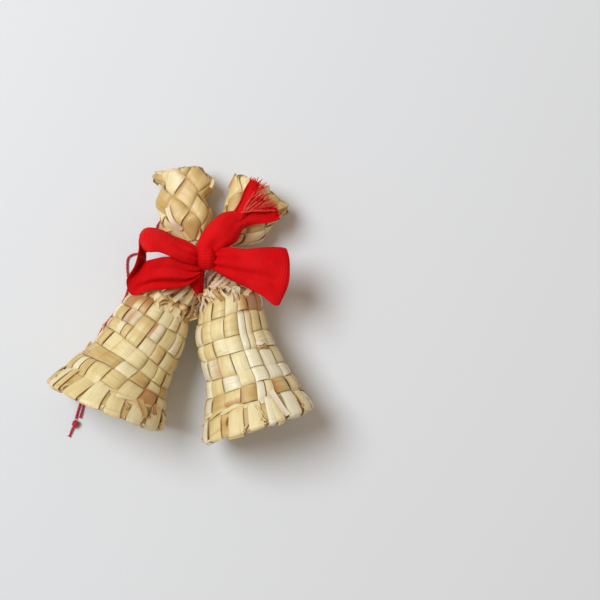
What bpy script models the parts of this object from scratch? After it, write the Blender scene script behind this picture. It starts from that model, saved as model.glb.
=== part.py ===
"""Straw ornament that lies on a table: two woven straw bells with plaited handles, their necks tied together
by a ribbon bow, and a doubled thread to hang them by. Sizes are in millimetres, plan places are measured from
the point where the ribbon crosses the necks, and MM turns both into metres."""

import math

import bmesh
import bpy
from mathutils import Matrix, Vector

MM = 0.001

# The whole
KNOT_X = 8.1  # where the ribbon crosses the necks, from the middle of the whole outline
KNOT_Y = 13.2
CLEARANCE = 0.3  # between pieces that touch
FLAT_DEPTH = 0.35  # how deep each rim and handle is pressed flat where it lies on the table

# Bells
WARPS = 16  # straws that run from shoulder to mouth
WALL = 1.3
CELL_JOINT = 0.55  # half of the groove between two crossings
CELL_RELIEF = 0.45
SHOULDER_RISE = 3.5  # from the last woven row to the root of the neck
ROOT_LIP = 0.5  # how far the root stands out past the neck
LEFT_MOUTH_RADIUS = 22.0
LEFT_LENGTH = 39.6
LEFT_HEADING = 28.8  # degrees clockwise from +Y, from mouth to neck
LEFT_PITCH = 8.0  # degrees that the neck end dips
LEFT_SHOULDER = (-16.0, -15.4)
LEFT_TWIST = -14.0  # degrees that the warps lean round from mouth to shoulder
LEFT_LEAN = 7.0  # sideways step from the bell's axis to the root of the neck
RIGHT_MOUTH_RADIUS = 20.3
RIGHT_LENGTH = 45.2
RIGHT_HEADING = -13.1
RIGHT_PITCH = 5.5
RIGHT_SHOULDER = (7.7, -12.6)
RIGHT_TWIST = 4.0
RIGHT_LEAN = -3.0
# Each row's lower edge: share of the length from the mouth, and share of the mouth's radius
BELL_ROWS = (
    (0.03, 1.0),
    (0.19, 0.85),
    (0.31, 0.775),
    (0.42, 0.72),
    (0.565, 0.665),
    (0.69, 0.625),
    (0.85, 0.575),
    (1.0, 0.49),
)
RIM_SHARE = 0.975  # radius at the very edge of the folded rim
CROWN_SHARE = 0.33  # radius of the folded ends above the last row
CROWN_RISE = 0.55  # their height, as a share of the shoulder's rise

# Necks
NECK_RADIUS = 2.6
NECK_DIP = 1.4  # how far the necks sink from the lower shoulder to the ribbon
TURN_PITCH = 1.9  # from one turn of the straw string to the next
TURN_DEPTH = 0.16  # groove between turns, as a share of the neck's radius

# Handles
PLAIT_ROUND = 7  # crossings in one turn round a handle
PLAIT_JOINT = 0.5
PLAIT_RELIEF = 0.5
HANDLE_HALF_DEPTH = 7.6
HANDLE_PITCH = 11.0
LEFT_HANDLE_BASE = (-4.6, 7.4)
LEFT_HANDLE_LENGTH = 26.4
LEFT_HANDLE_HEADING = -6.9
# Share of the length from the neck, half width, and shift to the side
LEFT_HANDLE_SHAPE = (
    (0.14, 4.6, -1.2),
    (0.37, 8.3, -1.5),
    (0.57, 7.9, -2.7),
    (0.76, 8.7, 0.7),
    (0.9, 9.4, -1.0),
    (1.0, 7.4, -1.2),
)
RIGHT_HANDLE_BASE = (5.0, 7.2)
RIGHT_HANDLE_LENGTH = 23.7
RIGHT_HANDLE_HEADING = 31.0
RIGHT_HANDLE_SHAPE = (
    (0.13, 4.3, 0.9),
    (0.35, 7.2, 2.4),
    (0.57, 7.8, 2.2),
    (0.785, 8.6, 2.4),
    (0.925, 9.8, 2.5),
    (1.0, 8.2, 2.5),
)

# Ribbon
RIBBON_THICKNESS = 0.6
BAND_WIDTH = 4.2  # of the ribbon gathered round the necks
BAND_SHIFT = 0.6  # middle of the band, past the crossing
BAND_ROOM = 1.2  # for the necks to bend in the band
KNOT_WIDTH = 6.2
KNOT_LENGTH = 7.6
KNOT_HEIGHT = 10.4
# Stations from the knot out and back to it: upper edge, lower edge, and how far the middle bulges
LEFT_LOOP = (
    ((-2.2, -1.0, 26.0), (-2.6, 4.4, 25.0), 1.0),
    ((-6.0, -0.5, 28.5), (-6.0, 6.6, 22.5), 1.6),
    ((-10.2, 0.9, 31.0), (-10.4, 8.3, 20.0), 2.0),
    ((-15.0, 3.0, 32.6), (-15.9, 10.9, 18.8), 2.2),
    ((-18.8, 3.0, 33.2), (-20.9, 11.6, 18.2), 2.2),
    ((-20.0, 2.3, 33.3), (-23.3, 9.9, 17.6), 2.0),
    ((-20.3, 1.6, 33.2), (-24.2, 3.4, 16.6), 2.0),
    ((-19.6, 0.9, 32.6), (-26.0, -2.4, 17.6), 2.0),
    ((-17.8, 0.6, 31.8), (-27.6, -9.2, 21.6), 1.6),
    ((-15.2, 1.2, 30.8), (-24.2, -11.6, 24.6), 0.4),
    ((-12.4, 1.6, 29.6), (-18.8, -9.9, 26.2), -1.2),
    ((-9.0, 1.0, 28.0), (-12.6, -9.4, 26.0), -1.8),
    ((-5.2, -0.4, 26.6), (-7.4, -8.8, 24.8), -1.6),
    ((-2.2, -1.6, 24.6), (-2.6, -5.0, 23.4), -0.6),
)
RIGHT_LOOP = (
    ((2.4, 4.0, 26.6), (2.2, -2.4, 25.8), -0.8),
    ((8.0, 4.8, 29.0), (7.2, -5.6, 27.2), -2.0),
    ((13.8, 4.2, 30.4), (13.6, -8.6, 28.6), -1.8),
    ((20.6, 4.8, 31.0), (19.6, -11.8, 30.0), -1.2),
    ((25.8, 4.8, 30.4), (23.4, -14.9, 30.4), -0.6),
    ((27.8, 4.2, 28.4), (25.4, -14.9, 28.6), -2.2),
    ((25.8, 4.0, 26.4), (23.4, -13.8, 27.4), 0.8),
    ((19.4, 3.9, 24.6), (18.2, -10.4, 26.6), 0.6),
    ((11.8, 3.6, 23.2), (11.8, -7.6, 25.0), 0.4),
    ((3.0, 3.2, 22.6), (3.0, -2.4, 22.6), 0.2),
)
UPPER_TAIL = (
    ((-2.6, 0.4, 26.6), (2.6, 0.8, 26.6), 0.8),
    ((-2.8, 5.2, 27.8), (6.4, 4.4, 27.6), 1.4),
    ((-0.2, 11.0, 26.4), (10.6, 7.0, 25.0), 1.6),
    ((5.0, 16.2, 23.6), (12.6, 11.2, 22.4), 1.2),
    ((10.2, 17.6, 21.6), (14.2, 12.2, 20.4), 0.8),
)
LEFT_FINGER = (
    ((8.6, 15.6, 22.3), (12.6, 14.0, 21.5), 0.6),
    ((11.6, 20.8, 20.6), (15.6, 19.4, 20.4), 0.8),
    ((13.4, 25.4, 19.4), (17.2, 24.0, 19.2), 0.8),
    ((15.4, 28.8, 18.6), (18.4, 27.6, 18.4), 0.5),
)
RIGHT_FINGER = (
    ((10.6, 16.9, 21.3), (12.9, 12.4, 20.9), 0.4),
    ((15.4, 17.6, 20.4), (17.0, 13.0, 19.4), 0.8),
    ((20.6, 18.8, 19.4), (21.6, 13.6, 18.6), 0.8),
    ((24.6, 18.6, 18.6), (25.6, 15.0, 18.2), 0.5),
)
LOWER_TAIL = (
    ((0.0, 1.4, 22.4), (0.0, 1.4, 20.4), 0.0),
    ((-0.3, -2.4, 22.0), (-0.3, -2.6, 17.6), 0.2),
    ((-0.8, -5.2, 21.2), (-0.4, -5.4, 12.8), 0.2),
    ((-1.4, -8.0, 20.6), (-0.8, -8.2, 9.8), 0.2),
    ((-2.6, -10.8, 20.0), (-2.0, -11.2, 9.2), 0.3),
    ((-4.2, -13.4, 19.2), (-3.4, -13.8, 10.2), 0.2),
)

# Hanging thread
THREAD_DIAMETER = 0.9
THREAD_KNOT_RADIUS = 1.35
THREAD_KNOT_AT = (-47.9, -57.6)
THREAD_TAIL_END = (-49.9, -61.6)
# The long strand leaves the neck under the left handle, passes left of the bow and under the left bell
LONG_STRAND = (
    (-8.8, 5.2, 12.0),
    (-9.7, 7.4, 8.6),
    (-10.7, 10.0, 5.0),
    (-12.0, 12.6, 2.4),
    (-14.0, 14.9, 0.8),
    (-16.4, 15.8, 0.5),
    (-18.3, 13.9, 0.5),
    (-19.3, 11.2, 0.5),
    (-20.6, 7.6, 0.5),
    (-22.3, 4.7, 0.5),
    (-24.9, 3.5, 0.5),
    (-27.5, 3.0, 0.5),
    (-29.1, 1.8, 0.5),
    (-29.5, -1.2, 0.5),
    (-29.2, -5.4, 0.5),
    (-29.3, -9.7, 0.5),
    (-31.0, -13.9, 0.5),
    (-34.6, -18.7, 0.5),
    (-38.2, -23.3, 0.5),
    (-40.6, -28.2, 0.5),
    (-42.4, -33.6, 0.5),
    (-44.0, -39.4, 0.5),
    (-45.1, -44.6, 0.5),
    (-46.1, -49.6, 0.5),
    (-47.4, -54.0, 0.6),
    (-47.9, -55.9, 0.9),
)
# The short strand leaves the neck on the side of the bells and runs straight under the left one
SHORT_STRAND = (
    (-4.2, -5.0, 10.4),
    (-5.6, -7.2, 7.0),
    (-8.0, -9.8, 3.2),
    (-11.2, -13.0, 1.0),
    (-15.4, -17.4, 0.5),
    (-20.6, -23.0, 0.5),
    (-26.4, -29.0, 0.5),
    (-32.4, -34.4, 0.5),
    (-38.2, -39.4, 0.5),
    (-42.6, -44.0, 0.5),
    (-44.6, -49.0, 0.5),
    (-45.7, -53.4, 0.6),
    (-46.4, -55.6, 0.9),
)


def at(x, y, z):
    """A place given in millimetres from the crossing of the necks, with z from the table."""
    return Vector((x + KNOT_X, y + KNOT_Y, z)) * MM


def turn(heading, pitch):
    """Stands local +Z along the heading in plan, dipping by the pitch."""
    return Matrix.Rotation(-math.radians(heading), 4, "Z") @ Matrix.Rotation(-math.radians(90 + pitch), 4, "X")


def between(a, b, start, end, t):
    return (a * (end - t) + b * (t - start)) / (end - start)


def smooth(points, count, power=0.0):
    """Reads count places from one smooth curve through the points. A power of 0.5 keeps it from overshooting."""
    points = [Vector(point) for point in points]
    ends = [2 * points[0] - points[1], *points, 2 * points[-1] - points[-2]]
    knots = [0.0]
    for first, second in zip(ends, ends[1:]):
        knots.append(knots[-1] + (second - first).length ** power)
    places = []
    for step in range(count):
        share = step * (len(points) - 1) / (count - 1)
        i = min(int(share), len(points) - 2)
        t = knots[i + 1] + (share - i) * (knots[i + 2] - knots[i + 1])
        line = [between(ends[k], ends[k + 1], knots[k], knots[k + 1], t) for k in (i, i + 1, i + 2)]
        bend = [between(line[k], line[k + 1], knots[i + k], knots[i + k + 2], t) for k in (0, 1)]
        places.append(between(bend[0], bend[1], knots[i + 1], knots[i + 2], t))
    return places


def spaced(points, pitch):
    """Reads places a set distance apart from one smooth curve through the points."""
    fine = smooth(points, 40 * len(points), power=0.5)
    lengths = [0.0]
    for start, end in zip(fine, fine[1:]):
        lengths.append(lengths[-1] + (end - start).length)
    count = max(2, round(lengths[-1] / pitch) + 1)
    places = []
    index = 0
    for step in range(count):
        wanted = lengths[-1] * step / (count - 1)
        while index < len(fine) - 2 and lengths[index + 1] < wanted:
            index += 1
        share = (wanted - lengths[index]) / (lengths[index + 1] - lengths[index])
        places.append(fine[index].lerp(fine[index + 1], min(1.0, share)))
    return places


def material(name, colour, roughness):
    made = bpy.data.materials.new(name)
    made.use_nodes = True
    shader = made.node_tree.nodes["Principled BSDF"]
    shader.inputs["Base Color"].default_value = (*colour, 1.0)
    shader.inputs["Roughness"].default_value = roughness
    shader.inputs["Metallic"].default_value = 0.0
    return made


def add(name, data, look, matrix=None):
    piece = bpy.data.objects.new(name, data)
    bpy.context.scene.collection.objects.link(piece)
    if look:
        data.materials.append(look)
    if matrix:
        piece.matrix_world = matrix
    return piece


def mesh_of(name, bm, sharp=40):
    bmesh.ops.recalc_face_normals(bm, faces=bm.faces)
    mesh = bpy.data.meshes.new(name)
    bm.to_mesh(mesh)
    bm.free()
    mesh.shade_smooth()
    mesh.set_sharp_from_angle(angle=math.radians(sharp))
    return mesh


def helper(piece):
    piece.hide_render = True
    piece.display_type = "WIRE"
    return piece


def combine(piece, other, operation):
    modifier = piece.modifiers.new(other.name, "BOOLEAN")
    modifier.operation = operation
    modifier.solver = "EXACT"
    modifier.object = other


# Bells
def bell_frame(shoulder, heading, pitch, radius, length):
    """The bell's own frame: origin in the middle of the mouth, +Z to the neck."""
    turned = turn(heading, pitch)
    rise = radius * math.cos(math.radians(pitch)) - FLAT_DEPTH
    mouth = at(*shoulder, 0) - turned.to_3x3() @ Vector((0, 0, length * MM))
    mouth.z = rise * MM
    return Matrix.Translation(mouth) @ turned


def woven_bell(name, radius, length, twist, lean, look, frame):
    bm = bmesh.new()
    top = length + SHOULDER_RISE
    root = NECK_RADIUS + ROOT_LIP
    outside = [(0, top), (root, top), (CROWN_SHARE * radius, length + CROWN_RISE * SHOULDER_RISE)]
    outside += [(share * radius, row * length) for row, share in reversed(BELL_ROWS)]
    outside.append((RIM_SHARE * radius, 0))
    inside = [(RIM_SHARE * radius - WALL, 0)]
    inside += [(share * radius - WALL, row * length) for row, share in BELL_ROWS[1:-1:2]]
    inside += [(BELL_ROWS[-1][1] * radius - WALL, length - WALL), (0, length - WALL)]
    line = [bm.verts.new((r * MM, 0, z * MM)) for r, z in outside + inside]
    edges = [bm.edges.new(pair) for pair in zip(line, line[1:])]
    bmesh.ops.spin(
        bm, geom=line + edges, cent=(0, 0, 0), axis=(0, 0, 1), angle=math.tau, steps=WARPS, use_merge=True
    )
    bmesh.ops.remove_doubles(bm, verts=bm.verts, dist=0.01 * MM)
    bmesh.ops.recalc_face_normals(bm, faces=bm.faces)
    lowest = BELL_ROWS[0][0] * length * MM
    highest = (length + CROWN_RISE * SHOULDER_RISE) * MM
    cells = []
    for face in bm.faces:
        centre = face.calc_center_median()
        outward = face.normal.x * centre.x + face.normal.y * centre.y
        if outward > 0 and all(lowest - MM * 0.01 <= v.co.z <= highest + MM * 0.01 for v in face.verts):
            cells.append(face)
    bmesh.ops.inset_individual(bm, faces=cells, thickness=CELL_JOINT * MM, depth=CELL_RELIEF * MM)
    for vert in bm.verts:
        share = vert.co.z / (length * MM)
        vert.co = Matrix.Rotation(math.radians(twist) * share, 3, "Z") @ vert.co
        vert.co.x += lean * MM * max(0.0, (vert.co.z / MM - length) / SHOULDER_RISE)
    return add(name, mesh_of(name, bm), look, frame)


# Necks
def neck(name, bell, lean, length, side, handle, crossing_z, look):
    """A straw bundle wound with straw string, from the bell's root through the ribbon to the handle."""
    beside = side * (NECK_RADIUS + CLEARANCE)
    route = [
        bell @ (Vector((lean, 0, length + SHOULDER_RISE + CLEARANCE)) * MM),
        bell @ (Vector((lean, 0, length + SHOULDER_RISE + NECK_RADIUS)) * MM),
        at(beside, BAND_SHIFT - BAND_WIDTH / 2, crossing_z),
        at(beside, BAND_SHIFT + BAND_WIDTH / 2, crossing_z),
        handle @ Vector((0, 0, -NECK_RADIUS / 2 * MM)),
        handle @ Vector((0, 0, -CLEARANCE * MM)),
    ]
    places = spaced(route, TURN_PITCH * MM / 2)
    curve = bpy.data.curves.new(name, "CURVE")
    curve.dimensions = "3D"
    curve.bevel_depth = NECK_RADIUS * MM
    curve.bevel_resolution = 3
    curve.use_fill_caps = True
    spline = curve.splines.new("POLY")
    spline.points.add(len(places) - 1)
    for index, (point, place) in enumerate(zip(spline.points, places)):
        point.co = (*place, 1.0)
        point.radius = 1.0 - TURN_DEPTH * (index % 2)
    return add(name, curve, look)


# Handles
def handle_frame(base, heading, length):
    """The handle's own frame: origin where the neck ends, +Z to its far end, which comes down to the table."""
    rise = (HANDLE_HALF_DEPTH - FLAT_DEPTH) + length * math.sin(math.radians(HANDLE_PITCH))
    return Matrix.Translation(at(*base, rise)) @ turn(heading, HANDLE_PITCH)


def plaited_handle(name, length, shape, look, frame):
    """A knob plaited on the diagonal: a square tube poked into diamonds, each one a crossing of two straws."""
    start = NECK_RADIUS + ROOT_LIP
    stations = [(0.0, start, 0.0), *shape]
    bm = bmesh.new()
    line = [bm.verts.new((MM, 0, share * length * MM)) for share, _, _ in stations]
    edges = [bm.edges.new(pair) for pair in zip(line, line[1:])]
    bmesh.ops.spin(
        bm, geom=line + edges, cent=(0, 0, 0), axis=(0, 0, 1), angle=math.tau, steps=PLAIT_ROUND, use_merge=True
    )
    bmesh.ops.remove_doubles(bm, verts=bm.verts, dist=0.01 * MM)
    for vert in bm.verts:
        share = vert.co.z / (length * MM)
        _, half, shift = min(stations, key=lambda station: abs(station[0] - share))
        depth = min(half, HANDLE_HALF_DEPTH)
        across, up = vert.co.x / MM, vert.co.y / MM
        square = (abs(across) ** 3 + abs(up) ** 3) ** (1 / 3)
        vert.co.x = (across / square * half + shift) * MM
        vert.co.y = up / square * depth * MM
    sides = list(bm.faces)
    old_edges = list(bm.edges)
    bmesh.ops.poke(bm, faces=sides, offset=0.0)
    inner = [edge for edge in old_edges if edge.is_valid and len(edge.link_faces) == 2]
    bmesh.ops.dissolve_edges(bm, edges=inner, use_verts=False)
    diamonds = [face for face in bm.faces if len(face.verts) == 4]
    bmesh.ops.holes_fill(bm, edges=[edge for edge in bm.edges if edge.is_boundary], sides=0)
    bmesh.ops.recalc_face_normals(bm, faces=bm.faces)
    bmesh.ops.inset_individual(bm, faces=diamonds, thickness=PLAIT_JOINT * MM, depth=PLAIT_RELIEF * MM)
    return add(name, mesh_of(name, bm), look, frame)


# Ribbon
def strip(name, stations, steps):
    """One length of ribbon between two edge curves, its middle pushed out along its own normal."""
    upper = smooth([at(*first) for first, _, _ in stations], steps)
    lower = smooth([at(*second) for _, second, _ in stations], steps)
    bulges = smooth([Vector((bulge * MM, 0, 0)) for _, _, bulge in stations], steps)
    bm = bmesh.new()
    shares = (0.0, 0.25, 0.5, 0.75, 1.0)
    rows = []
    for index in range(steps):
        before, after = max(0, index - 1), min(steps - 1, index + 1)
        along = (upper[after] + lower[after]) - (upper[before] + lower[before])
        outward = along.cross(lower[index] - upper[index]).normalized()
        row = []
        for share in shares:
            place = upper[index].lerp(lower[index], share)
            row.append(bm.verts.new(place + outward * (4 * share * (1 - share) * bulges[index].x)))
        rows.append(row)
    for first, second in zip(rows, rows[1:]):
        for column in range(len(shares) - 1):
            bm.faces.new((first[column], second[column], second[column + 1], first[column + 1]))
    mesh = mesh_of(name, bm, sharp=180)
    piece = add(name, mesh, None)
    wall = piece.modifiers.new("thickness", "SOLIDIFY")
    wall.thickness = RIBBON_THICKNESS * MM
    wall.offset = 0.0
    wall.use_even_offset = True
    return helper(piece)


def knot_band(crossing_z, look):
    """The ribbon's turn round both necks, an oval band open along Y."""
    across = 2 * NECK_RADIUS + CLEARANCE + BAND_ROOM
    up = NECK_RADIUS + BAND_ROOM
    bm = bmesh.new()
    bmesh.ops.create_circle(bm, cap_ends=False, segments=24, radius=1.0)
    for vert in bm.verts:
        vert.co = Vector((vert.co.x * across, 0, vert.co.y * up)) * MM
    made = bmesh.ops.extrude_edge_only(bm, edges=bm.edges)
    moved = [item for item in made["geom"] if isinstance(item, bmesh.types.BMVert)]
    bmesh.ops.translate(bm, verts=moved, vec=(0, BAND_WIDTH * MM, 0))
    bmesh.ops.translate(bm, verts=bm.verts, vec=at(0, BAND_SHIFT - BAND_WIDTH / 2, crossing_z))
    piece = add("ribbon_bow", mesh_of("ribbon_bow", bm), look)
    wall = piece.modifiers.new("thickness", "SOLIDIFY")
    wall.thickness = 2 * RIBBON_THICKNESS * MM
    wall.offset = 1.0
    wall.use_even_offset = True
    return piece


def knot_lump(crossing_z):
    """The knot itself: a rounded block that sits on the band."""
    bm = bmesh.new()
    bmesh.ops.create_cube(bm, size=1.0)
    bmesh.ops.bevel(
        bm, geom=bm.edges, offset=0.24, segments=3, profile=0.5, affect="EDGES", material=-1, clamp_overlap=True
    )
    bmesh.ops.scale(bm, verts=bm.verts, vec=Vector((KNOT_WIDTH, KNOT_LENGTH, KNOT_HEIGHT)) * MM)
    bottom = crossing_z + NECK_RADIUS + BAND_ROOM + RIBBON_THICKNESS
    bmesh.ops.translate(bm, verts=bm.verts, vec=at(0.2, BAND_SHIFT, bottom + KNOT_HEIGHT / 2))
    return helper(add("knot_lump", mesh_of("knot_lump", bm), None))


# Thread
def thread(name, route, look):
    places = spaced([at(*point) for point in route], 2.7 * THREAD_DIAMETER * MM)
    curve = bpy.data.curves.new(name, "CURVE")
    curve.dimensions = "3D"
    curve.bevel_depth = THREAD_DIAMETER / 2 * MM
    curve.bevel_resolution = 2
    curve.use_fill_caps = True
    spline = curve.splines.new("POLY")
    spline.points.add(len(places) - 1)
    for point, place in zip(spline.points, places):
        point.co = (*place, 1.0)
    return add(name, curve, look)


def thread_knot(look):
    """The overhand knot that joins both strands, with its cut ends."""
    middle = at(*THREAD_KNOT_AT, THREAD_KNOT_RADIUS)
    end = at(*THREAD_TAIL_END, THREAD_DIAMETER / 2)
    forward = (end - middle).normalized()
    radius = THREAD_KNOT_RADIUS * MM
    curve = bpy.data.curves.new("thread_knot", "CURVE")
    curve.dimensions = "3D"
    curve.bevel_depth = radius
    curve.bevel_resolution = 2
    curve.use_fill_caps = True
    spline = curve.splines.new("POLY")
    shares = ((-0.9, 0.5), (-0.55, 0.85), (0.0, 1.0), (0.55, 0.85), (0.9, 0.5))
    spline.points.add(len(shares) + 1)
    for point, (step, width) in zip(spline.points, shares):
        point.co = (*(middle + forward * radius * step), 1.0)
        point.radius = width
    thin = THREAD_DIAMETER / 2 / THREAD_KNOT_RADIUS
    for point, share in zip(spline.points[-2:], (0.5, 1.0)):
        point.co = (*middle.lerp(end, share), 1.0)
        point.radius = thin
    return add("thread_knot", curve, look)


for old in list(bpy.data.objects):
    bpy.data.objects.remove(old)

straw = material("straw", (0.62, 0.45, 0.22), 0.5)
straw_plait = material("straw plait", (0.6, 0.42, 0.19), 0.5)
straw_string = material("straw string", (0.55, 0.42, 0.28), 0.7)
ribbon_red = material("red ribbon", (0.6, 0.01, 0.02), 0.65)
thread_red = material("red thread", (0.4, 0.01, 0.03), 0.8)

left_frame = bell_frame(LEFT_SHOULDER, LEFT_HEADING, LEFT_PITCH, LEFT_MOUTH_RADIUS, LEFT_LENGTH)
right_frame = bell_frame(RIGHT_SHOULDER, RIGHT_HEADING, RIGHT_PITCH, RIGHT_MOUTH_RADIUS, RIGHT_LENGTH)
left_bell = woven_bell(
    "left_bell", LEFT_MOUTH_RADIUS, LEFT_LENGTH, LEFT_TWIST, LEFT_LEAN, straw, left_frame
)
right_bell = woven_bell(
    "right_bell", RIGHT_MOUTH_RADIUS, RIGHT_LENGTH, RIGHT_TWIST, RIGHT_LEAN, straw, right_frame
)

shoulders = [
    (left_frame @ Vector((0, 0, LEFT_LENGTH * MM))).z / MM,
    (right_frame @ Vector((0, 0, RIGHT_LENGTH * MM))).z / MM,
]
crossing = min(shoulders) - NECK_DIP
left_grip = handle_frame(LEFT_HANDLE_BASE, LEFT_HANDLE_HEADING, LEFT_HANDLE_LENGTH)
right_grip = handle_frame(RIGHT_HANDLE_BASE, RIGHT_HANDLE_HEADING, RIGHT_HANDLE_LENGTH)
neck("left_neck_binding", left_frame, LEFT_LEAN, LEFT_LENGTH, -1, left_grip, crossing, straw_string)
neck("right_neck_binding", right_frame, RIGHT_LEAN, RIGHT_LENGTH, 1, right_grip, crossing, straw_string)
left_handle = plaited_handle("left_handle", LEFT_HANDLE_LENGTH, LEFT_HANDLE_SHAPE, straw_plait, left_grip)
right_handle = plaited_handle("right_handle", RIGHT_HANDLE_LENGTH, RIGHT_HANDLE_SHAPE, straw_plait, right_grip)

bow = knot_band(crossing, ribbon_red)
combine(bow, knot_lump(crossing), "UNION")
combine(bow, strip("left_loop", LEFT_LOOP, 27), "UNION")
combine(bow, strip("right_loop", RIGHT_LOOP, 25), "UNION")
combine(bow, strip("upper_tail", UPPER_TAIL, 9), "UNION")
combine(bow, strip("left_finger", LEFT_FINGER, 7), "UNION")
combine(bow, strip("right_finger", RIGHT_FINGER, 7), "UNION")
combine(bow, strip("lower_tail", LOWER_TAIL, 9), "UNION")

# The table presses a small flat on every rim and handle that rests on it
bm = bmesh.new()
bmesh.ops.create_cube(bm, size=0.3)
bmesh.ops.translate(bm, verts=bm.verts, vec=(0, 0, -0.15))
table = helper(add("table", mesh_of("table", bm), None))
for piece in (left_bell, right_bell, left_handle, right_handle):
    combine(piece, table, "DIFFERENCE")

thread("hanging_thread_long", LONG_STRAND, thread_red)
thread("hanging_thread_short", SHORT_STRAND, thread_red)
thread_knot(thread_red)
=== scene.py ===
import random
from math import atan, cos, exp, floor, pi, radians, sin, sqrt, tan, tau

import bmesh
import bpy
from mathutils import Matrix, Vector, noise


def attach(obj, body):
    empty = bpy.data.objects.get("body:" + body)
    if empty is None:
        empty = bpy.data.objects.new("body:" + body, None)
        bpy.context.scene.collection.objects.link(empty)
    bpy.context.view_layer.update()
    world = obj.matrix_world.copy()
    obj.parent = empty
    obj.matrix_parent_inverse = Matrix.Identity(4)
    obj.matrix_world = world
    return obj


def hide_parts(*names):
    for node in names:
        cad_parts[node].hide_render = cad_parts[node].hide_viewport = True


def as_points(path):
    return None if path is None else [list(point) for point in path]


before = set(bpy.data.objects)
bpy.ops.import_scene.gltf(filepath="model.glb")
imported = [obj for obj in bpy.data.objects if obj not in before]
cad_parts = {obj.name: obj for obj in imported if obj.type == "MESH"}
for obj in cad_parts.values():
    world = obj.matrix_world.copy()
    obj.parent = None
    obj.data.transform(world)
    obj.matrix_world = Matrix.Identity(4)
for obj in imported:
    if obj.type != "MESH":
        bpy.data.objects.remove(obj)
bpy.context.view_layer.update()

# The view
# The ornament lies on a table and is seen from straight above. It lies left of the middle, so there is more
# room on its right.
VIEW_WIDTH = 0.21  # of what the view takes in, at this level above the table
VIEW_LEVEL = 0.016
VIEW_DISTANCE = 0.6
VIEW_CENTRE = (0.04065, -0.000075)


def placed(name, data):
    """Puts a new object into the scene."""
    made = bpy.data.objects.new(name, data)
    bpy.context.scene.collection.objects.link(made)
    return made


camera = placed("camera", bpy.data.cameras.new("camera"))
camera.data.angle = 2 * atan(VIEW_WIDTH / 2 / VIEW_DISTANCE)
camera.location = (*VIEW_CENTRE, VIEW_LEVEL + VIEW_DISTANCE)
bpy.context.scene.camera = camera
bpy.context.scene.view_settings.view_transform = "Standard"

# The hanging thread
# One crimson two-ply thread, doubled into a loop round the necks under the bow. Its strands lie loose on the
# table, pass under the left bell and meet in a small wound knot. Sizes are in millimetres, and places are
# given from where the two necks cross.
MM = 0.001
CROSSING_X = 8.1  # from the origin
CROSSING_Y = 13.2
THREAD_DIAMETER = 0.9
THREAD_STEP = 0.3
THREAD_SIDES = 12
THREAD_TURN = 2.6  # length in which its two plies go round each other once
THREAD_WAIST = 0.22
THREAD_LIGHT = (0.62, 0.012, 0.035, 1.0)
THREAD_DARK = (0.24, 0.002, 0.012, 1.0)
THREAD_KNOT_RADIUS = 1.35
THREAD_KNOT_TURNS = 2.5
THREAD_KNOT_STEPS = 60
THREAD_KNOT_AT = (-47.9, -57.6)
THREAD_TAIL_END = (-49.9, -61.6)
FIBRE_RADIUS = 0.17
FIBRE_SPREADS = (-0.6, -0.35, -0.1, 0.15, 0.4, 0.6)
FIBRE_LENGTH = 0.9
CURVE_STEPS = 40  # short steps in which each part of a curve is measured
SHARP_ANGLE = 50
LONG_STRAND = (
    (-8.8, 5.2, 12.0), (-9.7, 7.4, 8.6), (-10.7, 10.0, 5.0), (-12.0, 12.6, 2.4),
    (-14.0, 14.9, 0.8), (-16.4, 15.8, 0.5), (-18.3, 13.9, 0.5), (-19.3, 11.2, 0.5),
    (-20.6, 7.6, 0.5), (-22.3, 4.7, 0.5), (-24.9, 3.5, 0.5), (-27.5, 3.0, 0.5),
    (-29.1, 1.8, 0.5), (-29.5, -1.2, 0.5), (-29.2, -5.4, 0.5), (-29.3, -9.7, 0.5),
    (-31.0, -13.9, 0.5), (-34.6, -18.7, 0.5), (-38.2, -23.3, 0.5), (-40.6, -28.2, 0.5),
    (-42.4, -33.6, 0.5), (-44.0, -39.4, 0.5), (-45.1, -44.6, 0.5), (-46.1, -49.6, 0.5),
    (-47.4, -54.0, 0.6), (-47.9, -55.9, 0.9),
)
SHORT_STRAND = (
    (-4.2, -5.0, 10.4), (-5.6, -7.2, 7.0), (-8.0, -9.8, 3.2), (-11.2, -13.0, 1.0),
    (-15.4, -17.4, 0.5), (-20.6, -23.0, 0.5), (-26.4, -29.0, 0.5), (-32.4, -34.4, 0.5),
    (-38.2, -39.4, 0.5), (-42.6, -44.0, 0.5), (-44.6, -49.0, 0.5), (-45.7, -53.4, 0.6),
    (-46.4, -55.6, 0.9),
)


def at(x, y, z):
    """A place given in millimetres from the crossing of the necks, with z from the table."""
    return Vector((x + CROSSING_X, y + CROSSING_Y, z)) * MM


def between(a, b, start, end, t):
    return (a * (end - t) + b * (t - start)) / (end - start)


def point_on(points, place, power=0.0):
    """Reads a smooth curve through the points, which lie at the whole numbers of place."""
    i = min(max(floor(place), 0), len(points) - 2)
    before = points[i - 1] if i else 2 * points[0] - points[1]
    after = points[i + 2] if i + 2 < len(points) else 2 * points[-1] - points[-2]
    four = (before, points[i], points[i + 1], after)
    knots = [0.0]
    for first, second in zip(four, four[1:]):
        knots.append(knots[-1] + (second - first).length ** power)
    t = knots[1] + (place - i) * (knots[2] - knots[1])
    line = [between(four[k], four[k + 1], knots[k], knots[k + 1], t) for k in range(3)]
    bend = [between(line[k], line[k + 1], knots[k], knots[k + 2], t) for k in range(2)]
    return between(bend[0], bend[1], knots[1], knots[2], t)


def lengths_along(points):
    """How far along the line each of its points lies."""
    lengths = [0.0]
    for start, end in zip(points, points[1:]):
        lengths.append(lengths[-1] + (end - start).length)
    return lengths


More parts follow.
